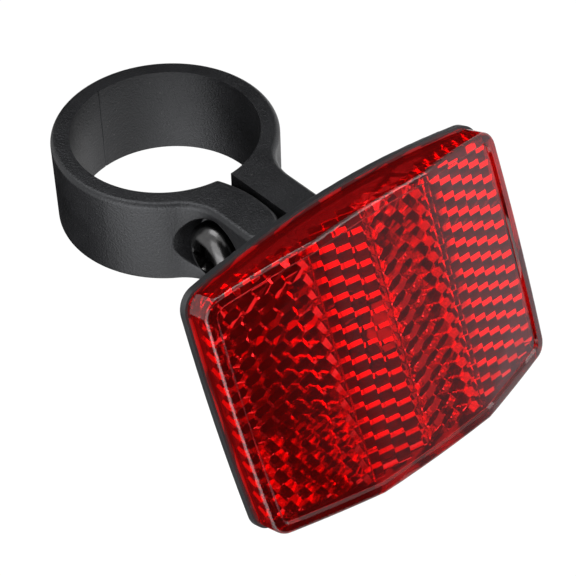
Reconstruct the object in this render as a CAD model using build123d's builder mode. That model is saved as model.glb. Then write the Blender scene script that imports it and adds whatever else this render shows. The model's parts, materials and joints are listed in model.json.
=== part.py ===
from build123d import *
import os
from math import cos, radians, sin, sqrt, tan

# Bicycle rear reflector on a seat post clamp, in millimetres.
# The origin is the centre of the clamp's bore at mid height. +Z runs up the post, -Y points to the rear
# of the bicycle, where the reflector faces, and +X is to the right for someone who looks at the reflector.

# Clamp ring
bore_diameter = 30.0
ring_wall = 3.0
clamp_height = 15.4
edge_radius = 0.95
seam_x = -1.6
seam_bevel = 0.25

# Ears, and the gap that the screw draws together. Lengths along Y count from the ring's outer face.
split_overrun = 0.4
near_ear_thickness = 7.3
near_ear_length = 11.3
near_ear_corner = 4.0
near_ear_outer_corner = 1.8
near_gap_root = 1.5
near_gap_middle = 0.1
near_gap_tip = 1.1
far_gap = 0.6
far_ear_outer = 7.2
far_ear_length = 12.5
ear_blend = 8.0

# Arm from the far ear to the flange behind the reflector
arm_inner = 5.0
arm_blend = 3.0
flange_width = 16.0
flange_height = 17.0
flange_thickness = 3.5
flange_corner = 2.5

# Tongue that locks the two halves of the ring together at the seam
tongue_length = 2.6
tongue_height = 8.0
tongue_wall = 1.2
tongue_clearance = 0.1

# Clamp screw, M5 pan head, with its washer and captive nut
screw_offset = 2.0
screw_length = 14.0
screw_diameter = 5.0
screw_clearance = 0.4
head_diameter = 9.5
head_height = 3.7
head_round = 2.5
cross_length = 5.0
cross_width = 1.1
cross_depth = 2.4
cross_slope = 26.0
counterbore_diameter = 11.4
counterbore_floor = 5.0
counterbore_rim = 0.5
washer_diameter = 10.0
washer_thickness = 1.0
nut_flats = 8.0
nut_thickness = 4.0
nut_chamfer = 0.5
nut_clearance = 0.1
thread_clearance = 0.1
nut_seat = 3.0

# Reflector: its distance from the ring, its drop below the clamp's middle and how far it leans back
reflector_offset = 27.7
reflector_drop = 1.7
reflector_tilt = 21.4

# Outline that the back plate and the lens share
reflector_width = 58.0
reflector_height = 43.6
top_arch = 2.6
bottom_arch = 1.7
side_bow = 0.6
top_corner = 3.6
bottom_corner = 3.0
inner_corner = 0.8
plate_thickness = 1.6
plate_edge = 0.5

# Lens: flat middle, two outer parts that slope back, sunk front panel
lens_inset = 0.4
lens_depth = 8.7
middle_half_width = 11.0
outer_slope = 14.4
lens_wall = 1.6
lens_edge = 0.6
panel_inset = 1.9
panel_depth = 0.4
panel_bevel = 0.35
lens_front = 2.2

# Corner cubes on the lens's inner face, in four zones that mirror each other. The cubes of the two inner
# zones are turned round and lean the other way, so that each zone sends light back from other directions.
cube_pitch = 2.6
inner_turn = 180
inner_cant = -6.0
outer_turn = 0
outer_cant = 4.0
zone_gap = 0.3
cube_root = 0.6
wall_overlap = 0.8

# Mounting of the reflector on the flange, M5
mount_rise = 1.8
bolt_length = 12.0
bolt_head = 3.5
head_clearance = 0.3
boss_wall = 1.4
socket_height = 1.2
socket_wall = 1.4
socket_clearance = 0.2
rib_half_length = 9.0
rib_height = 2.0
rib_thickness = 1.2
rib_clearance = 0.2

# How near an edge lies to the place by which it is chosen
near = 0.01

# Values that follow from the sizes above
bore_radius = bore_diameter / 2
ring_radius = bore_radius + ring_wall
ear_root = bore_radius - split_overrun
near_ear_end = ring_radius + near_ear_length
far_ear_end = ring_radius + far_ear_length
screw_reach = ring_radius + screw_offset
reflector_reach = ring_radius + reflector_offset
tilt = radians(reflector_tilt)
out_dir = Vector(0, -cos(tilt), sin(tilt))
up_dir = Vector(0, sin(tilt), cos(tilt))
face_origin = Vector(0, -reflector_reach, -reflector_drop)
face_plane = Plane(origin=face_origin, x_dir=(1, 0, 0), z_dir=out_dir)
section_plane = Plane(origin=face_origin, x_dir=(1, 0, 0), z_dir=up_dir * -1)
mount_plane = Plane(origin=face_origin + up_dir * mount_rise, x_dir=(1, 0, 0), z_dir=out_dir)
clamp_bottom = Plane.XY.offset(-clamp_height / 2)
nut_plane = Plane(origin=(nut_seat, -screw_reach, 0), x_dir=(0, 1, 0), z_dir=(1, 0, 0))
screw_under_head = counterbore_floor + washer_thickness
screw_plane = Plane(origin=(-screw_under_head, -screw_reach, 0), x_dir=(0, -1, 0), z_dir=(-1, 0, 0))
flange_back = plate_thickness + flange_thickness
ceiling_depth = lens_depth - panel_depth - lens_front


def front_height(u, depth=lens_depth):
    """Height of a front face above the back plate at the distance u from the middle."""
    return depth - max(abs(u) - middle_half_width, 0) * tan(radians(outer_slope))


def arc_radius(half_chord, rise):
    """Radius of the arc that rises by rise over a chord."""
    return (half_chord**2 + rise**2) / (2 * rise)


def reflector_outline(inset):
    """Outline of the reflector moved inwards by inset: arched top, bowed bottom and sides."""
    half_width = reflector_width / 2
    half_height = reflector_height / 2
    top_radius = arc_radius(half_width - side_bow, top_arch)
    bottom_radius = arc_radius(half_width - side_bow, bottom_arch)
    side_radius = arc_radius(half_height, side_bow)
    with BuildSketch() as sketch:
        with Locations((0, half_height - top_radius)):
            Circle(top_radius - inset)
        with Locations((0, bottom_radius - half_height)):
            Circle(bottom_radius - inset, mode=Mode.INTERSECT)
        with Locations((side_radius - half_width, 0)):
            Circle(side_radius - inset, mode=Mode.INTERSECT)
        with Locations(Location((half_width - side_radius, 0), 180)):
            Circle(side_radius - inset, mode=Mode.INTERSECT)
        fillet(sketch.vertices().group_by(Axis.Y)[-1], max(top_corner - inset, inner_corner))
        fillet(sketch.vertices().group_by(Axis.Y)[0], max(bottom_corner - inset, inner_corner))
    return sketch.sketch


def front_section(depth, level):
    """Cross-section between the faceted front at depth and a straight line at the height level."""
    reach = reflector_width / 2 + lens_wall
    front = [(u, front_height(u, depth)) for u in (-reach, -middle_half_width, middle_half_width, reach)]
    with BuildSketch() as sketch:
        with BuildLine():
            Polyline(*front, (reach, level), (-reach, level), close=True)
        make_face()
    return sketch.sketch


def vertex_at(sketch, x, y):
    """The corner of a sketch nearest to (x, y)."""
    return sketch.vertices().sort_by_distance((x, y, 0))[0]


def off_screw(point):
    """Distance of a point from the clamp screw's axis."""
    return sqrt((point.Y + screw_reach)**2 + point.Z**2)


def hex_nut(plane):
    """Hexagon nut that stands on plane, with its corners chamfered at both ends."""
    corner = nut_flats / sqrt(3)
    chamfer_height = nut_chamfer * tan(radians(30))
    with BuildPart() as nut:
        with BuildSketch(plane):
            RegularPolygon(nut_flats / 2, 6, major_radius=False)
            Circle((screw_diameter + thread_clearance) / 2, mode=Mode.SUBTRACT)
        extrude(amount=nut_thickness)
        with BuildSketch(Plane(origin=plane.origin, x_dir=plane.x_dir, z_dir=plane.y_dir * -1)):
            with BuildLine():
                Polyline((0, 0), (corner - nut_chamfer, 0), (corner, chamfer_height),
                         (corner, nut_thickness - chamfer_height), (corner - nut_chamfer, nut_thickness),
                         (0, nut_thickness), close=True)
            make_face()
        revolve(axis=Axis(plane.origin, plane.z_dir), mode=Mode.INTERSECT)
    return nut.part


def flat_washer(plane):
    """Flat washer that lies on plane."""
    with BuildPart() as washer:
        with BuildSketch(plane):
            Circle(washer_diameter / 2)
            Circle((screw_diameter + screw_clearance) / 2, mode=Mode.SUBTRACT)
        extrude(amount=washer_thickness)
    return washer.part


def cube_field(plane, x_high, turn, cant):
    """Solid with corner cubes that point down from plane, from the middle of its X axis to x_high.

    Each cube has three faces, square to each other, that meet at its tip. The three edges that rise from
    the tip lead to the next tips' edges, so that the faces of all the cubes make one unbroken stair. turn
    is the direction of the first edge in degrees, 0 along +X or 180 along -X. cant leans the cubes along X.
    """
    lean = radians(cant)
    edges = []
    for angle in (0, 120, 240):
        across = sqrt(2 / 3) * cos(radians(turn + angle))
        along = sqrt(2 / 3) * sin(radians(turn + angle))
        height = 1 / sqrt(3)
        edges.append(Vector(across * cos(lean) + height * sin(lean), along,
                            height * cos(lean) - across * sin(lean)))
    drop = cube_pitch / abs(edges[1].Y / edges[1].Z - edges[2].Y / edges[2].Z)
    edges = [edge * (drop / edge.Z) for edge in edges]
    column = abs(edges[0].X - edges[1].X)
    last_column = round(x_high / column) + 1
    half_height = reflector_height / 2
    last_row = round(half_height / cube_pitch) + last_column

    def corner(key):
        point = edges[0] * key[0] + edges[1] * key[1] + edges[2] * key[2]
        return plane.from_local_coords(point - Vector(0, 0, 2 * drop))

    def raised(key):
        flat = plane.to_local_coords(corner(key))
        return plane.from_local_coords(Vector(flat.X, flat.Y, cube_root))

    quads = []
    for k in range(-1, last_column + 1):
        i = k if turn == 0 else -k
        for j in range(-last_row, last_row + 1):
            tip = (i, j - i, -j)
            if abs(plane.to_local_coords(corner(tip)).Y) > half_height:
                continue
            for a, b in ((0, 1), (1, 2), (2, 0)):
                first = tuple(m + (n == a) for n, m in enumerate(tip))
                last = tuple(m + (n == b) for n, m in enumerate(tip))
                both = tuple(m + (n in (a, b)) for n, m in enumerate(tip))
                quads.append((tip, first, both, last))

    uses = {}
    for quad in quads:
        for k in range(4):
            step = (quad[k], quad[(k + 1) % 4])
            if step[::-1] in uses:
                del uses[step[::-1]]
            else:
                uses[step] = True
    following = {start: end for start, end in uses}
    rim = [next(iter(following))]
    while following[rim[-1]] != rim[0]:
        rim.append(following[rim[-1]])

    faces = [Face(Wire.make_polygon([corner(key) for key in quad])) for quad in quads]
    for start, end in zip(rim, rim[1:] + rim[:1]):
        wall = [corner(start), corner(end), raised(end), raised(start)]
        faces.append(Face(Wire.make_polygon(wall)))
    faces.append(Face(Wire.make_polygon([raised(key) for key in rim])))
    return Solid(Shell(faces))


def trimmed_zone(cubes, start, end):
    """The corner cubes between two distances from the middle, cut off inside the lens's side walls."""
    with BuildPart() as zone:
        add(cubes)
        with BuildSketch(face_plane):
            add(field_outline)
            with Locations((start + zone_gap / 2, 0)):
                Rectangle(end - start - zone_gap, 2 * reflector_height, align=(Align.MIN, Align.CENTER),
                          mode=Mode.INTERSECT)
        extrude(amount=lens_depth, mode=Mode.INTERSECT)
    return zone.part


def front_edges(lens):
    """Edges that run round the lens on its faceted front, without the two creases across it."""
    chosen = []
    for edge in lens.edges():
        place = face_plane.to_local_coords(edge.center())
        on_front = abs(place.Z - front_height(place.X)) < near
        crease = abs(abs(place.X) - middle_half_width) < near
        if on_front and not crease:
            chosen.append(edge)
    return chosen


plate_outline = reflector_outline(0)
lens_outline = reflector_outline(lens_inset)
panel_outline = reflector_outline(lens_inset + panel_inset)
cavity_outline = reflector_outline(lens_inset + lens_wall)
field_outline = reflector_outline(lens_inset + wall_overlap)
rib_outer = reflector_outline(lens_inset + lens_wall + rib_clearance)
rib_inner = reflector_outline(lens_inset + lens_wall + rib_clearance + rib_thickness)

# Bracket: half of the ring, far ear, arm and flange in one moulding

blend_y = -sqrt(ring_radius**2 - far_ear_outer**2)
arm_end = reflector_reach + reflector_drop
with BuildPart() as bracket:
    with BuildSketch(clamp_bottom) as plan:
        Circle(ring_radius)
        with Locations((0, -far_ear_end)):
            Rectangle(far_ear_outer, far_ear_end, align=Align.MIN)
        with Locations((arm_inner, -arm_end)):
            Rectangle(far_ear_outer - arm_inner, arm_end, align=Align.MIN)
        with Locations((-ring_radius, -far_ear_end)):
            Rectangle(ring_radius + far_gap, far_ear_end - ear_root, align=Align.MIN, mode=Mode.SUBTRACT)
        fillet(vertex_at(plan, far_ear_outer, blend_y), ear_blend)
        fillet(vertex_at(plan, arm_inner, -far_ear_end), arm_blend)
    extrude(amount=clamp_height)
    outer = bracket.faces().filter_by(Axis.Z).edges().filter_by(
        lambda e: e.center().X > far_gap + near or e.center().Y > -ear_root + near)
    fillet(outer, edge_radius)
    with BuildSketch(clamp_bottom):
        Circle(bore_radius)
        with Locations((seam_x, -ear_root)):
            Rectangle(ring_radius * 2, ring_radius * 2 + ear_root, align=(Align.MAX, Align.MIN))
    extrude(amount=clamp_height, mode=Mode.SUBTRACT)
    seam_edge = bracket.edges().filter_by(Axis.Z).sort_by_distance((seam_x, bore_radius, 0))[0]
    chamfer(seam_edge, seam_bevel)
    with BuildSketch(Plane.XY):
        Circle(bore_radius + (ring_wall + tongue_wall) / 2 + tongue_clearance)
        Circle(bore_radius + (ring_wall - tongue_wall) / 2 - tongue_clearance, mode=Mode.SUBTRACT)
        with Locations((seam_x, 0)):
            Rectangle(tongue_length + tongue_clearance, ring_radius, align=Align.MIN, mode=Mode.INTERSECT)
    extrude(amount=tongue_height / 2 + tongue_clearance, both=True, mode=Mode.SUBTRACT)
    with BuildSketch(face_plane.offset(-plate_thickness - flange_thickness / 2)):
        Rectangle(reflector_width, 2 * reflector_height)
    extrude(amount=reflector_reach, mode=Mode.SUBTRACT)
    with BuildSketch(mount_plane.offset(-flange_back)):
        RectangleRounded(flange_width, flange_height, flange_corner)
    extrude(amount=flange_thickness)
    with BuildSketch(mount_plane):
        Circle((screw_diameter + screw_clearance) / 2)
    extrude(amount=-bolt_length, mode=Mode.SUBTRACT)
    with BuildSketch(screw_plane):
        Circle((screw_diameter + screw_clearance) / 2)
    extrude(amount=-2 * screw_length, mode=Mode.SUBTRACT)
    with BuildSketch(nut_plane):
        RegularPolygon(nut_flats / 2 + nut_clearance, 6, major_radius=False)
    extrude(amount=screw_length, mode=Mode.SUBTRACT)

# Jaw: the other half of the ring with the near ear, which the screw pulls towards the bracket

blend_y = -sqrt(ring_radius**2 - near_ear_thickness**2)
with BuildPart() as jaw:
    with BuildSketch(clamp_bottom) as plan:
        Circle(ring_radius)
        with Locations((0, -near_ear_end)):
            Rectangle(near_ear_thickness, near_ear_end, align=(Align.MAX, Align.MIN))
        with BuildLine():
            face = ThreePointArc((-near_gap_root, -ear_root), (-near_gap_middle, -screw_reach),
                                 (-near_gap_tip, -near_ear_end))
            Polyline(face @ 1, (ring_radius, -near_ear_end), (ring_radius, -ear_root), face @ 0)
        make_face(mode=Mode.SUBTRACT)
        fillet(vertex_at(plan, -near_ear_thickness, blend_y), ear_blend)
        fillet(vertex_at(plan, -near_gap_tip, -near_ear_end), near_ear_corner)
        fillet(vertex_at(plan, -near_ear_thickness, -near_ear_end), near_ear_outer_corner)
    extrude(amount=clamp_height)
    outer = jaw.faces().filter_by(Axis.Z).edges().filter_by(
        lambda e: e.center().X < -near_gap_root or e.center().Y > -ear_root + near)
    fillet(outer, edge_radius)
    with BuildSketch(clamp_bottom):
        Circle(bore_radius)
        with Locations((seam_x, -ear_root)):
            Rectangle(ring_radius * 2, ring_radius * 2 + ear_root, align=Align.MIN)
    extrude(amount=clamp_height, mode=Mode.SUBTRACT)
    with BuildSketch(Plane.XY):
        Circle(bore_radius + (ring_wall + tongue_wall) / 2)
        Circle(bore_radius + (ring_wall - tongue_wall) / 2, mode=Mode.SUBTRACT)
        with Locations((seam_x - tongue_wall, 0)):
            Rectangle(tongue_length + tongue_wall, ring_radius, align=Align.MIN, mode=Mode.INTERSECT)
    extrude(amount=tongue_height / 2, both=True)
    with BuildSketch(screw_plane.offset(-washer_thickness)):
        Circle(counterbore_diameter / 2)
    extrude(amount=ring_radius, mode=Mode.SUBTRACT)
    rim = jaw.edges().filter_by(Axis.X, reverse=True).filter_by(
        lambda e: abs(off_screw(e @ 0.5) - counterbore_diameter / 2) < near
        and e.center().X < -counterbore_floor - near)
    fillet(rim, counterbore_rim)
    with BuildSketch(screw_plane):
        Circle((screw_diameter + screw_clearance) / 2)
    extrude(amount=-screw_length, mode=Mode.SUBTRACT)

# Clamp screw: pan head with a cross recess, smooth shank at the thread's outer size

with BuildPart() as recess:
    with BuildSketch(screw_plane.offset(head_height)):
        Rectangle(cross_length, cross_width)
        Rectangle(cross_width, cross_length)
    extrude(amount=-cross_depth)
    with BuildSketch(screw_plane.offset(head_height)):
        Circle(cross_length / 2)
    extrude(amount=-cross_depth, taper=cross_slope, mode=Mode.INTERSECT)

with BuildPart() as clamp_screw:
    with BuildSketch(screw_plane):
        Circle(head_diameter / 2)
    extrude(amount=head_height)
    fillet(clamp_screw.edges().sort_by(Axis.X)[0], head_round)
    with BuildSketch(screw_plane):
        Circle(screw_diameter / 2)
    extrude(amount=-screw_length)
    add(recess.part, mode=Mode.SUBTRACT)

with BuildPart() as screw_washer:
    add(flat_washer(screw_plane.offset(-washer_thickness)))

with BuildPart() as clamp_nut:
    add(hex_nut(nut_plane))

# Mounting bolt with its washer and nut behind the flange

with BuildPart() as mounting_bolt:
    with BuildSketch(mount_plane):
        RegularPolygon(nut_flats / 2, 6, major_radius=False)
    extrude(amount=bolt_head)
    with BuildSketch(mount_plane):
        Circle(screw_diameter / 2)
    extrude(amount=-bolt_length)

behind_flange = Plane(origin=mount_plane.origin - out_dir * flange_back, x_dir=(1, 0, 0),
                      z_dir=out_dir * -1)
with BuildPart() as mounting_washer:
    add(flat_washer(behind_flange))

with BuildPart() as mounting_nut:
    add(hex_nut(behind_flange.offset(washer_thickness)))

# Back plate: a flat tray with a hexagon boss for the bolt's head. A socket round the flange keeps it from
# turning.

with BuildPart() as back_plate:
    with BuildSketch(face_plane):
        add(plate_outline)
    extrude(amount=-plate_thickness)
    fillet(back_plate.faces().sort_by(Axis(face_origin, out_dir))[0].edges(), plate_edge)
    with BuildSketch(face_plane):
        add(rib_outer)
        add(rib_inner, mode=Mode.SUBTRACT)
        Rectangle(2 * rib_half_length, 2 * reflector_height, mode=Mode.INTERSECT)
    extrude(amount=rib_height)
    with BuildSketch(mount_plane):
        RegularPolygon(nut_flats / 2 + nut_clearance + boss_wall, 6, major_radius=False)
    extrude(amount=bolt_head)
    with BuildSketch(mount_plane.offset(-plate_thickness)):
        RectangleRounded(flange_width + 2 * (socket_clearance + socket_wall),
                         flange_height + 2 * (socket_clearance + socket_wall),
                         flange_corner + socket_clearance + socket_wall)
        RectangleRounded(flange_width + 2 * socket_clearance, flange_height + 2 * socket_clearance,
                         flange_corner + socket_clearance, mode=Mode.SUBTRACT)
    extrude(amount=-socket_height)
    with BuildSketch(mount_plane):
        RegularPolygon(nut_flats / 2 + nut_clearance, 6, major_radius=False)
    extrude(amount=bolt_head, mode=Mode.SUBTRACT)
    with BuildSketch(mount_plane):
        Circle((screw_diameter + screw_clearance) / 2)
    extrude(amount=-plate_thickness, mode=Mode.SUBTRACT)

# Lens: the space for its sunk front panel and for its hollow, then the corner cubes, then the moulding.
# Behind the cubes there is always room for the bolt's head.

with BuildPart() as panel_space:
    with BuildSketch(face_plane):
        add(panel_outline)
    extrude(amount=lens_depth + panel_depth)
    with BuildSketch(section_plane):
        add(front_section(lens_depth - panel_depth, lens_depth + panel_depth))
    extrude(amount=reflector_height, both=True, mode=Mode.INTERSECT)

with BuildPart() as hollow:
    with BuildSketch(face_plane.offset(-lens_wall)):
        add(cavity_outline)
    extrude(amount=lens_wall + lens_depth)
    with BuildSketch(section_plane):
        add(front_section(ceiling_depth, -lens_wall))
    extrude(amount=reflector_height, both=True, mode=Mode.INTERSECT)

inner_plane = face_plane.offset(ceiling_depth)
slope = radians(outer_slope)
outer_plane = Plane(origin=inner_plane.from_local_coords(Vector(middle_half_width, 0, 0)),
                    x_dir=inner_plane.x_dir * cos(slope) - out_dir * sin(slope),
                    z_dir=inner_plane.x_dir * sin(slope) + out_dir * cos(slope))
inner_cubes = cube_field(inner_plane, middle_half_width, inner_turn, inner_cant)
outer_cubes = cube_field(outer_plane, reflector_width / 2 - middle_half_width, outer_turn, outer_cant)

inner_zone = trimmed_zone(inner_cubes, 0, middle_half_width)
outer_zone = trimmed_zone(outer_cubes, middle_half_width, reflector_width / 2)

with BuildPart() as lens:
    with BuildSketch(face_plane):
        add(lens_outline)
    extrude(amount=lens_depth + panel_depth)
    with BuildSketch(section_plane):
        add(front_section(lens_depth, -lens_wall))
    extrude(amount=reflector_height, both=True, mode=Mode.INTERSECT)
    fillet(front_edges(lens), lens_edge)
    add(panel_space.part, mode=Mode.SUBTRACT)
    chamfer(front_edges(lens), panel_bevel)
    add(hollow.part, mode=Mode.SUBTRACT)
    for zone in (inner_zone, outer_zone):
        add(zone)
        add(mirror(zone, about=Plane.YZ, mode=Mode.PRIVATE))
    with BuildSketch(mount_plane):
        Circle(nut_flats / sqrt(3) + head_clearance)
    extrude(amount=bolt_head + head_clearance, mode=Mode.SUBTRACT)

bracket.part.label = "bracket_arm"
jaw.part.label = "clamp_jaw"
clamp_screw.part.label = "clamp_screw"
screw_washer.part.label = "screw_washer"
clamp_nut.part.label = "clamp_nut"
back_plate.part.label = "back_plate"
lens.part.label = "lens"
mounting_bolt.part.label = "mounting_bolt"
mounting_washer.part.label = "mounting_washer"
mounting_nut.part.label = "mounting_nut"

os.makedirs("parts", exist_ok=True)
export_step(bracket.part, "parts/bracket_arm.step")
export_step(jaw.part, "parts/clamp_jaw.step")
export_step(clamp_screw.part, "parts/clamp_screw.step")
export_step(screw_washer.part, "parts/screw_washer.step")
export_step(clamp_nut.part, "parts/clamp_nut.step")
export_step(back_plate.part, "parts/back_plate.step")
export_step(lens.part, "parts/lens.step")
export_step(mounting_bolt.part, "parts/mounting_bolt.step")
export_step(mounting_washer.part, "parts/mounting_washer.step")
export_step(mounting_nut.part, "parts/mounting_nut.step")
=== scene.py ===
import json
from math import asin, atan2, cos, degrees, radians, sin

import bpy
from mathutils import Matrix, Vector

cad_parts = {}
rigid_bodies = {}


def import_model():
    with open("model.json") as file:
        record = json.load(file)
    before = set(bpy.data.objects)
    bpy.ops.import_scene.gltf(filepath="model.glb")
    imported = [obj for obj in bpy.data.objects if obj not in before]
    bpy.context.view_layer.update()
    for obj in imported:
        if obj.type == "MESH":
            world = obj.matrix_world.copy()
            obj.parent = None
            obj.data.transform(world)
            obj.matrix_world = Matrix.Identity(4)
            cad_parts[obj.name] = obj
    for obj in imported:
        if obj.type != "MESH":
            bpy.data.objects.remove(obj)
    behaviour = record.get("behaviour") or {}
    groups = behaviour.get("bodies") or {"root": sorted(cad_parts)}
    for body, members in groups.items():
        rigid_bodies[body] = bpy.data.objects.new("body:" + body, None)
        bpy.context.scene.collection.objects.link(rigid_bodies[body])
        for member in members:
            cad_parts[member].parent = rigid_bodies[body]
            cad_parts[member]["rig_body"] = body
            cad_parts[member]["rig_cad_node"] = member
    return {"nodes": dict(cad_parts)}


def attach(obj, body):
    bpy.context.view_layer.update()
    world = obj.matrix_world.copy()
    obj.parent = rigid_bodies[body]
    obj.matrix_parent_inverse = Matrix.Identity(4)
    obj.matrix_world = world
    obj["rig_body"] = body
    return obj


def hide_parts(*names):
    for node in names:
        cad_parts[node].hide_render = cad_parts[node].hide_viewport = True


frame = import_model()

# %% [markdown]
# # A bicycle rear reflector
#
# The object is a red reflector on a black plastic clamp for a seat post. The solids come from the CAD
# model in millimetre detail, so this lesson is about what the eye reads as material: grainy black
# moulding, a clear red lens with corner cubes on its inner face, a blackened screw and plated nuts.
# Everything stands in the CAD frame, in metres: +Z runs up the post, -Y is the side that reflects.

MM = 0.001
scene = bpy.context.scene
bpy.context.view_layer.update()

# %% [markdown]
# ## The camera
#
# The photograph looks down on the reflector's left front from a little above 40 degrees, through a long
# lens. The camera is placed by its angle and distance, and a small shift puts the object where the
# photograph has it in the frame, so that the perspective stays straight. Corner cubes reflect a ray three
# times and more before it leaves the red plastic, so the limits on bounces are raised.

# %% Camera
VIEW_AZIMUTH = radians(-41.386)
VIEW_ELEVATION = radians(43.159)
VIEW_ROLL = radians(-1.351)
VIEW_DISTANCE = 326.71 * MM
FOCAL_PIXELS = 2056.85
LOOK_RIGHT, LOOK_UP = 20.288 * MM, -19.871 * MM
CENTRE_X, CENTRE_Y = 298.7, 290.3
IMAGE = 576
SENSOR = 36
NEAR, FAR = 0.01, 20
ALL_BOUNCES = 32
LENS_BOUNCES = 24

back = Vector((
    sin(VIEW_AZIMUTH) * cos(VIEW_ELEVATION),
    -cos(VIEW_AZIMUTH) * cos(VIEW_ELEVATION),
    sin(VIEW_ELEVATION),
))
flat_right = Vector((cos(VIEW_AZIMUTH), sin(VIEW_AZIMUTH), 0))
flat_up = back.cross(flat_right)
right = flat_right * cos(VIEW_ROLL) + flat_up * sin(VIEW_ROLL)
up = flat_up * cos(VIEW_ROLL) - flat_right * sin(VIEW_ROLL)
eye = flat_right * LOOK_RIGHT + flat_up * LOOK_UP + back * VIEW_DISTANCE

bpy.ops.object.select_all(action="DESELECT")
bpy.ops.object.camera_add(location=eye)
camera = bpy.context.object
camera.rotation_mode = "QUATERNION"
camera.rotation_quaternion = Matrix((right, up, back)).transposed().to_quaternion()
camera.data.sensor_width = SENSOR
camera.data.lens = FOCAL_PIXELS * SENSOR / IMAGE
camera.data.shift_x = (IMAGE / 2 - CENTRE_X) / IMAGE
camera.data.shift_y = (CENTRE_Y - IMAGE / 2) / IMAGE
camera.data.clip_start = NEAR
camera.data.clip_end = FAR

scene.camera = camera
scene.view_settings.view_transform = "Standard"
scene.cycles.max_bounces = ALL_BOUNCES
scene.cycles.glossy_bounces = LENS_BOUNCES
scene.cycles.transmission_bounces = LENS_BOUNCES
print("camera at", [round(v / MM, 1) for v in eye])

# %% [markdown]
# ## Numbers in a node tree
#
# A node tree is easier to read as a formula. One small class wraps a socket, and Python's operators add
# Math nodes between such sockets, so that `noise * 0.2 + 0.3` builds two nodes.

# %% Number helper
class Value:
    """A number in a node tree."""

    def __init__(self, nodes, socket):
        self.nodes = nodes
        self.socket = socket

    def maths(self, operation, *others):
        numbers = dict(enumerate((self, *others)))
        made = self.nodes.node("ShaderNodeMath", {"operation": operation}, numbers)
        return Value(self.nodes, made.outputs[0])

    def __add__(self, other):
        return self.maths("ADD", other)

    def __sub__(self, other):
        return self.maths("SUBTRACT", other)

    def __rsub__(self, other):
        return self.maths("MULTIPLY", -1) + other

    def __mul__(self, other):
        return self.maths("MULTIPLY", other)

    __radd__ = __add__
    __rmul__ = __mul__


print("numbers add, subtract and multiply")

# %% [markdown]
# ## Any other node
#
# By hand, a node is added, its menus are set, and then its sockets are typed in or linked. One method does
# the same for any kind of node, in a material or in the world. Sockets are found by name, or by number on
# nodes that use a name more than once.

# %% Node helper
class Nodes:
    """A node tree under construction."""

    def __init__(self, tree):
        self.tree = tree

    def feed(self, socket, value):
        """Link a socket, or type a plain value into it."""
        if isinstance(value, Value):
            value = value.socket
        if isinstance(value, bpy.types.NodeSocket):
            self.tree.links.new(value, socket)
        else:
            socket.default_value = value

    def node(self, kind, settings=None, sockets=None):
        """Add a node with its settings, then with what goes into its sockets."""
        made = self.tree.nodes.new(kind)
        for name, value in (settings or {}).items():
            if name == "stops":
                self.fill_ramp(made.color_ramp.elements, value)
            else:
                setattr(made, name, value)
        for key, value in (sockets or {}).items():
            self.feed(made.inputs[key], value)
        return made

    def fill_ramp(self, elements, stops):
        """Give a colour ramp its stops, each a position from 0 to 1 and a colour."""
        while len(elements) < len(stops):
            elements.new(1)
        for element, (position, colour) in zip(elements, stops):
            element.position = position
            element.color = colour


print("nodes come from one method")

# %% [markdown]
# ## Finishes
#
# A finish is a node tree that belongs to a material, with short names for what this object needs: noise,
# a mix of two colours, and bump. All patterns lie in the object's own coordinates, so they stay where
# they are on the piece.

# %% Finish helper
class Finish(Nodes):
    """A material under construction."""

    # A Mix node keeps sockets for each type of data, and these are its colour ones
    MIX_SHARE, MIX_FIRST, MIX_SECOND, MIX_RESULT = 0, 6, 7, 2

    def __init__(self, name):
        self.material = bpy.data.materials.new(name)
        self.material.use_nodes = True
        super().__init__(self.material.node_tree)
        self.shader = self.tree.nodes["Principled BSDF"]

    def place(self):
        """Where a point lies on the object, in metres."""
        return self.node("ShaderNodeTexCoord").outputs["Object"]

    def noise(self, scale, detail=2, roughness=0.5):
        """A noise from 0 to 1 with about `scale` patches in a metre."""
        sockets = {"Vector": self.place(), "Scale": scale, "Detail": detail, "Roughness": roughness}
        return Value(self, self.node("ShaderNodeTexNoise", sockets=sockets).outputs["Fac"])

    def mix(self, share, first, second):
        sockets = {self.MIX_SHARE: share, self.MIX_FIRST: first, self.MIX_SECOND: second}
        return self.node("ShaderNodeMix", {"data_type": "RGBA"}, sockets).outputs[self.MIX_RESULT]

    def bump(self, height, strength, distance):
        sockets = {"Height": height, "Strength": strength, "Distance": distance}
        return self.node("ShaderNodeBump", sockets=sockets).outputs["Normal"]

    def set(self, **sockets):
        """Feed the material's own shader, and hand the material over."""
        for name, value in sockets.items():
            self.feed(self.shader.inputs[name.replace("_", " ")], value)
        return self.material


print("finishes have noise, mix and bump")

# %% [markdown]
# ## Black moulded plastic
#
# The clamp is filled nylon out of a grained mould: satin, nearly black, with a fine grain that breaks up
# the highlights and a few specks of dust. The grain is a fine noise in the bump, about a third of a
# millimetre wide. The specks are the peaks of a second noise, and a slow noise makes the colour and the
# gloss vary as they do on handled plastic. The plate is a little lighter and smoother.

# %% Clamp and plate plastic
GRAIN, BLOTCHES, SPECKS = 2900, 160, 2100
GRAIN_DEPTH = 0.12 * MM
BLOTCH_IN_BUMP = 0.3
GLOSS_SPREAD = 0.2
SPECK_LEVEL, SPECK_EDGE, SPECK_STRENGTH = 0.75, 14, 0.35
DUST = (0.16, 0.155, 0.15, 1)
COOL_SHEEN = (0.94, 0.96, 1.0, 1)


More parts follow.
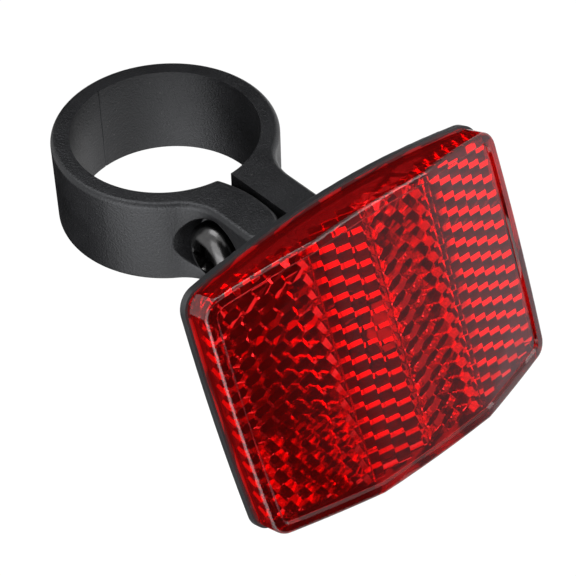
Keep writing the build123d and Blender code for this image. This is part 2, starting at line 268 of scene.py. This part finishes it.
def moulded_plastic(name, dark, light, roughness, grain, gloss):
    finish = Finish(name)
    fine = finish.noise(GRAIN, 3, 0.6)
    slow = finish.noise(BLOTCHES, 3)
    peaks = (finish.noise(SPECKS, 1) - SPECK_LEVEL) * SPECK_EDGE
    specks = peaks.maths("MAXIMUM", 0).maths("MINIMUM", 1)
    body = finish.mix(slow, dark, light)
    return finish.set(
        Base_Color=finish.mix(specks * SPECK_STRENGTH, body, DUST),
        Roughness=slow * GLOSS_SPREAD + (roughness - GLOSS_SPREAD / 2),
        Specular_IOR_Level=gloss,
        Specular_Tint=COOL_SHEEN,
        Normal=finish.bump(fine + slow * BLOTCH_IN_BUMP, grain, GRAIN_DEPTH),
    )


clamp_plastic = moulded_plastic(
    "clamp_plastic",
    dark=(0.004, 0.004, 0.0045, 1),
    light=(0.009, 0.009, 0.010, 1),
    roughness=0.36,
    grain=0.75,
    gloss=0.42,
)
plate_plastic = moulded_plastic(
    "plate_plastic",
    dark=(0.014, 0.014, 0.015, 1),
    light=(0.026, 0.026, 0.028, 1),
    roughness=0.40,
    grain=0.45,
    gloss=0.50,
)
print("plastics", clamp_plastic.name, plate_plastic.name)

# %% [markdown]
# ## Red lens
#
# The lens is clear acrylic dyed red: a glass shader with a red tint, whose corner cubes in the real mesh
# fold the light back. A few per cent of the light is scattered inside the plastic, more so in the side
# walls, which are not polished as well as the front. Handling leaves smears, so a noise varies the
# roughness, and a slow bump gives the faint waviness of a moulded face. The weld is cloudy and opaque.

# %% Lens plastic
ACRYLIC_INDEX = 1.49
SMEARS, WAVES = 140, 110
SMEAR_SPREAD, POLISH = 0.035, 0.003
WAVE_STRENGTH, WAVE_DEPTH = 0.3, 0.1 * MM


def dyed_acrylic(name, clear):
    """Red acrylic that lets through a share of the light and scatters the rest."""
    finish = Finish(name)
    return finish.set(
        Base_Color=(0.93, 0.016, 0.018, 1),
        Roughness=finish.noise(SMEARS, 4, 0.6) * SMEAR_SPREAD + POLISH,
        IOR=ACRYLIC_INDEX,
        Transmission_Weight=clear,
        Normal=finish.bump(finish.noise(WAVES, 1), WAVE_STRENGTH, WAVE_DEPTH),
    )


lens_plastic = dyed_acrylic("lens_plastic", 0.98)
lens_wall = dyed_acrylic("lens_wall", 0.93)
weld_seam = Finish("weld_seam").set(Base_Color=(0.96, 0.03, 0.03, 1), Roughness=0.5, IOR=ACRYLIC_INDEX)
print("lens", lens_plastic.name, lens_wall.name, weld_seam.name)

# %% [markdown]
# ## Metal parts
#
# The screw is blackened steel and its washer, the nuts and the bolt are zinc plated. Both are metals, so
# the colour is the colour of the reflection. A cloudy noise in the colour and the roughness and a fine
# bump keep them from looking like a mirror.

# %% Screw and zinc
CLOUDS, SCRATCHES = 700, 6000
SCRATCH_STRENGTH, SCRATCH_DEPTH = 0.15, 0.04 * MM


def plated_metal(name, dark, light, roughness, spread):
    finish = Finish(name)
    cloud = finish.noise(CLOUDS, 4, 0.6)
    return finish.set(
        Base_Color=finish.mix(cloud, dark, light),
        Metallic=1.0,
        Roughness=cloud * spread + roughness,
        Normal=finish.bump(finish.noise(SCRATCHES, 2), SCRATCH_STRENGTH, SCRATCH_DEPTH),
    )


screw_steel = plated_metal(
    "screw_steel",
    dark=(0.045, 0.045, 0.048, 1),
    light=(0.11, 0.108, 0.106, 1),
    roughness=0.14,
    spread=0.16,
)
zinc_plate = plated_metal(
    "zinc_plate",
    dark=(0.46, 0.47, 0.49, 1),
    light=(0.66, 0.66, 0.67, 1),
    roughness=0.24,
    spread=0.18,
)
print("metals", screw_steel.name, zinc_plate.name)

# %% [markdown]
# ## Smooth copies of the solids
#
# The CAD mesh is made of loose triangles. A copy of each solid is merged, then shaded smooth up to an
# angle, so that round faces look round and the real edges stay crisp. Each copy takes the place of its
# node. The pieces could be modelled again by hand, but a copy keeps every edge where the CAD has it.

# %% Copy helper
MERGE_DISTANCE = 0.002 * MM


def only_pick(piece):
    """Make a piece the only one selected, and the active one."""
    bpy.ops.object.select_all(action="DESELECT")
    piece.select_set(True)
    bpy.context.view_layer.objects.active = piece


def smooth_copy(node, finish, angle):
    source = frame["nodes"][node]
    piece = source.copy()
    piece.data = source.data.copy()
    piece.parent = None
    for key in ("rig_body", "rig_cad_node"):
        if key in piece:
            del piece[key]
    scene.collection.objects.link(piece)
    piece.name = node + "_finished"
    only_pick(piece)
    bpy.ops.object.mode_set(mode="EDIT")
    bpy.ops.mesh.select_all(action="SELECT")
    bpy.ops.mesh.customdata_custom_splitnormals_clear()
    bpy.ops.mesh.remove_doubles(threshold=MERGE_DISTANCE)
    bpy.ops.object.mode_set(mode="OBJECT")
    bpy.ops.object.shade_smooth_by_angle(angle=radians(angle))
    piece.data.materials.clear()
    piece.data.materials.append(finish)
    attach(piece, "root")
    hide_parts(node)
    print(piece.name, len(piece.data.vertices), "points")
    return piece


print("copies merge points closer than", MERGE_DISTANCE / MM, "mm")

# %% [markdown]
# ## The ten pieces
#
# Each call names a node, its finish and an angle. Edges that bend by more than the smoothing angle stay
# crisp. The angle is smaller on the nuts, so that the chamfers at their corners show, and smallest on the
# lens, which has shallower edges still.

# %% Pieces
BODY_ANGLE, NUT_ANGLE, LENS_ANGLE = 32, 25, 18

smooth_copy("bracket_arm", clamp_plastic, BODY_ANGLE)
smooth_copy("clamp_jaw", clamp_plastic, BODY_ANGLE)
smooth_copy("back_plate", plate_plastic, BODY_ANGLE)
smooth_copy("clamp_screw", screw_steel, BODY_ANGLE)
smooth_copy("screw_washer", zinc_plate, BODY_ANGLE)
smooth_copy("clamp_nut", zinc_plate, NUT_ANGLE)
smooth_copy("mounting_bolt", zinc_plate, BODY_ANGLE)
smooth_copy("mounting_washer", zinc_plate, BODY_ANGLE)
smooth_copy("mounting_nut", zinc_plate, NUT_ANGLE)
lens_piece = smooth_copy("lens", lens_plastic, LENS_ANGLE)

# %% [markdown]
# ## The weld of the lens
#
# The lens is welded to its plate round the foot of the wall. The weld is cloudy, so the wall is seen to
# glow red all round. By hand, its faces would be clicked in edit mode and given a second material. Here
# a rule picks them: they look backwards along the tilt of the plate and lie deepest in that direction.

# %% Weld faces
PLATE_TILT = radians(21.4)
LOOKS_BACK = -0.98
WELD_DEPTH = 0.1 * MM
plate_front = Vector((0, -cos(PLATE_TILT), sin(PLATE_TILT)))


def depth_of(face):
    return face.center.dot(plate_front)


def pick_faces(piece, indices):
    """Enter edit mode with only these faces of the piece selected."""
    only_pick(piece)
    bpy.ops.object.mode_set(mode="EDIT")
    bpy.ops.mesh.select_mode(type="FACE")
    bpy.ops.mesh.select_all(action="DESELECT")
    bpy.ops.object.mode_set(mode="OBJECT")
    for index in indices:
        piece.data.polygons[index].select = True
    bpy.ops.object.mode_set(mode="EDIT")


def give_finish(piece, faces, finish):
    """Give some faces of a piece a finish of their own."""
    piece.data.materials.append(finish)
    pick_faces(piece, faces)
    piece.active_material_index = len(piece.data.materials) - 1
    bpy.ops.object.material_slot_assign()
    bpy.ops.object.mode_set(mode="OBJECT")
    print(finish.name, "on", len(faces), "faces of", piece.name)


facing_back = [face for face in lens_piece.data.polygons if face.normal.dot(plate_front) < LOOKS_BACK]
foot = min(depth_of(face) for face in facing_back)
weld_faces = [face.index for face in facing_back if depth_of(face) < foot + WELD_DEPTH]
give_finish(lens_piece, weld_faces, weld_seam)

# %% [markdown]
# ## The side walls of the lens
#
# The side walls are less polished than the front. They stand nearly square to the plate and look
# outwards, away from the middle of the lens, and this rule picks them.

# %% Wall faces
WALL_SLANT = 0.3
WALL_REACH = 10 * MM
corners = [vertex.co for vertex in lens_piece.data.vertices]
lens_middle = sum(corners, Vector()) / len(corners)


def on_side_wall(face):
    upright = abs(face.normal.dot(plate_front)) < WALL_SLANT
    return upright and face.normal.dot(face.center - lens_middle) > WALL_REACH


wall_faces = [face.index for face in lens_piece.data.polygons if on_side_wall(face)]
give_finish(lens_piece, wall_faces, lens_wall)

# %% [markdown]
# ## White floor
#
# The photograph is a cut-out on white, so the floor lies well below the object. Rays that show the
# background, straight from the camera, mirrored or through the lens, find it glowing white. A tenth of
# what they see is the floor's own lit surface, which keeps the object's shadow.

# %% Floor
FLOOR_LEVEL = -300 * MM
FLOOR_SIZE = 6
FLOOR_GLOW = 1.05
GLOW_SHARE = 0.9


def rays_that_see(nodes):
    """1 for rays that show the background, 0 for those that only light a rough surface."""
    paths = nodes.node("ShaderNodeLightPath").outputs
    camera_ray = Value(nodes, paths["Is Camera Ray"])
    mirrored = Value(nodes, paths["Is Glossy Ray"])
    through = Value(nodes, paths["Is Transmission Ray"])
    return camera_ray.maths("MAXIMUM", mirrored).maths("MAXIMUM", through)


def mix_shaders(nodes, share, first, second):
    """A shader that goes from the first to the second as the share goes from 0 to 1."""
    return nodes.node("ShaderNodeMixShader", sockets={0: share, 1: first, 2: second}).outputs[0]


bpy.ops.object.select_all(action="DESELECT")
bpy.ops.mesh.primitive_plane_add(size=FLOOR_SIZE, location=(0, 0, FLOOR_LEVEL))
floor = bpy.context.object
floor.name = "floor"

white = Finish("floor_white")
floor_white = white.set(Base_Color=(0.85, 0.85, 0.85, 1), Roughness=0.9, Specular_IOR_Level=0.0)
glow = white.node("ShaderNodeEmission", sockets={"Strength": FLOOR_GLOW}).outputs[0]
surface = mix_shaders(white, rays_that_see(white) * GLOW_SHARE, white.shader.outputs[0], glow)
white.feed(white.tree.nodes["Material Output"].inputs["Surface"], surface)
floor.data.materials.append(floor_white)
print("floor at", FLOOR_LEVEL / MM)

# %% [markdown]
# ## Painted dark reflection behind the camera
#
# A clear red lens mostly shows the room, folded back by the corner cubes and tinted red. The room of the
# photograph is white with some dark parts, and one of them is the side where the camera stands. So a dome
# is put round the object and only patches of it are kept, to paint dark reflections. This one is black.
# The camera doesn't see it and it casts no shadow: it is a painted dark reflection, which only darkens
# what the object mirrors and what shows through the lens.

# %% Painted dark reflection behind the camera
DOME_RADIUS, DOME_SEGMENTS, DOME_RINGS = 0.8, 180, 90

# A patch spans azimuths, from -Y towards +X, and elevations, in degrees
BEHIND_CAMERA = (-66, -14, 24, 64)


def inside(point, left, right, low, high):
    """True if a point lies inside the spans of azimuth and elevation, as seen from the origin."""
    point = point.normalized()
    azimuth = degrees(atan2(point.x, -point.y))
    elevation = degrees(asin(point.z))
    return left < azimuth < right and low < elevation < high


def painted_reflection_sheet(piece, finish, through):
    """Dress a sheet that paints reflections: only mirrored light sees it, and light through the lens if
    asked.
    """
    piece.data.materials.append(finish)
    piece.visible_camera = False
    piece.visible_diffuse = False
    piece.visible_shadow = False
    piece.visible_transmission = through
    print(piece.name, len(piece.data.polygons), "faces")


def dome_patch(name, spans, finish, through):
    """The part of a dome round the object that lies inside the spans."""
    bpy.ops.object.select_all(action="DESELECT")
    bpy.ops.mesh.primitive_uv_sphere_add(segments=DOME_SEGMENTS, ring_count=DOME_RINGS, radius=DOME_RADIUS)
    dome = bpy.context.object
    dome.name = name
    pick_faces(dome, [face.index for face in dome.data.polygons if not inside(face.center, *spans)])
    bpy.ops.mesh.delete(type="FACE")
    bpy.ops.object.mode_set(mode="OBJECT")
    painted_reflection_sheet(dome, finish, through)


# A black finish for sheets that paint dark reflections
black_wall = Finish("black_wall").set(
    Base_Color=(0.004, 0.004, 0.004, 1), Roughness=1.0, Specular_IOR_Level=0.0
)
dome_patch("camera_side", BEHIND_CAMERA, black_wall, True)

# %% [markdown]
# ## The painted reflection in front
#
# The flat front of the lens mirrors a stretch of the room that goes from dark on the left to white on the
# right. A second patch of the dome paints this reflection as a glow, whose colour follows X: it is no
# lamp, and only mirrored light and light through the lens see it.

# %% Painted reflection in front
IN_FRONT = (-24, 78, -34, 14)

# Metres along X, and the colour of the painted reflection there
PAINTED_REFLECTION_FADE = [
    (0.05, (0.02, 0.02, 0.02, 1)),
    (0.30, (0.20, 0.17, 0.19, 1)),
    (0.46, (0.50, 0.42, 0.46, 1)),
    (0.60, (1.00, 0.88, 0.95, 1)),
]

# A glow that paints the reflection in front; it is no lamp
painted_fade_finish = Finish("fading_wall")
across = painted_fade_finish.node("ShaderNodeSeparateXYZ", sockets={"Vector": painted_fade_finish.place()}).outputs["X"]
painted_fade_colour = painted_fade_finish.node("ShaderNodeValToRGB", {"stops": PAINTED_REFLECTION_FADE}, {"Fac": across}).outputs["Color"]
fading_wall = painted_fade_finish.set(
    Base_Color=(0, 0, 0, 1),
    Roughness=1.0,
    Specular_IOR_Level=0.0,
    Emission_Color=painted_fade_colour,
    Emission_Strength=1.0,
)
dome_patch("front_side", IN_FRONT, fading_wall, True)

# %% [markdown]
# ## Painted dark reflections behind the object
#
# The top wall of the lens and the top of the clamp mirror what lies behind the object, and both look dark
# in the photograph. Two more black patches and a black card on the floor stand there as painted dark
# reflections. Only mirrored light sees them: through the lens the room behind stays white.

# %% Painted dark reflections behind the object
BEHIND_OBJECT = (128, 179, -14, 26)
ABOVE_OBJECT = (104, 179, 26, 58)
CARD_SIZE, CARD_PLACE = 0.9, (-0.1, 0.5, FLOOR_LEVEL + MM)

dome_patch("back_side", BEHIND_OBJECT, black_wall, False)
dome_patch("back_top", ABOVE_OBJECT, black_wall, False)

# The card paints a dark reflection on the floor; only mirrored light sees it
bpy.ops.object.select_all(action="DESELECT")
bpy.ops.mesh.primitive_plane_add(size=CARD_SIZE, location=CARD_PLACE)
card = bpy.context.object
card.name = "black_card"
painted_reflection_sheet(card, black_wall, False)

# %% [markdown]
# ## The room's light
#
# The room is a plain white that shows behind the object, in mirrored light and through the lens. Its own
# share in lighting rough surfaces is halved, so that the black plastic stays black and the lamps shape it.

# %% World
ROOM_LIGHT, ROOM_SEEN = 0.5, 1.0

world = bpy.data.worlds.new("studio")
scene.world = world
world.use_nodes = True
world.node_tree.nodes.clear()
sky = Nodes(world.node_tree)


def white_sky(strength):
    sockets = {"Color": (1, 1, 1, 1), "Strength": strength}
    return sky.node("ShaderNodeBackground", sockets=sockets).outputs[0]


room = mix_shaders(sky, rays_that_see(sky), white_sky(ROOM_LIGHT), white_sky(ROOM_SEEN))
sky.node("ShaderNodeOutputWorld", sockets={"Surface": room})
print("world", world.name, "lights at", ROOM_LIGHT, "and shows at", ROOM_SEEN)

# %% [markdown]
# ## Lamps
#
# Four large soft lamps. The key stands low on the left, where it grazes the clamp's upright walls and
# brings out their grain. The table lamp does what a bright table does: it lights these walls and the
# lens from below. The other two give the glints on the screw and inside the lens. The key is kept out of
# the lens, whose cubes would throw it back as patches.

# %% Lamps
LIT_POINT = Vector((0, -0.02, 0))


def soft_lamp(name, place, size, power, through):
    """A square lamp that shines at the object, seen through the lens if asked."""
    bpy.ops.object.light_add(type="AREA", location=place)
    lamp = bpy.context.object
    lamp.name = name
    lamp.data.shape = "SQUARE"
    lamp.data.size = size
    lamp.data.energy = power
    lamp.rotation_mode = "QUATERNION"
    lamp.rotation_quaternion = (LIT_POINT - Vector(place)).to_track_quat("-Z", "Y")
    lamp.visible_transmission = through
    lamp.visible_camera = False
    print(name, "lamp", power, "W")


soft_lamp("table", (-0.32, -0.24, -0.28), 0.65, 2.4, True)
soft_lamp("key", (-0.66, -0.30, 0.16), 0.9, 5, False)
soft_lamp("fill", (0.50, -0.50, 0.40), 0.6, 3, True)
soft_lamp("top", (-0.05, 0.25, 0.80), 0.5, 3, True)
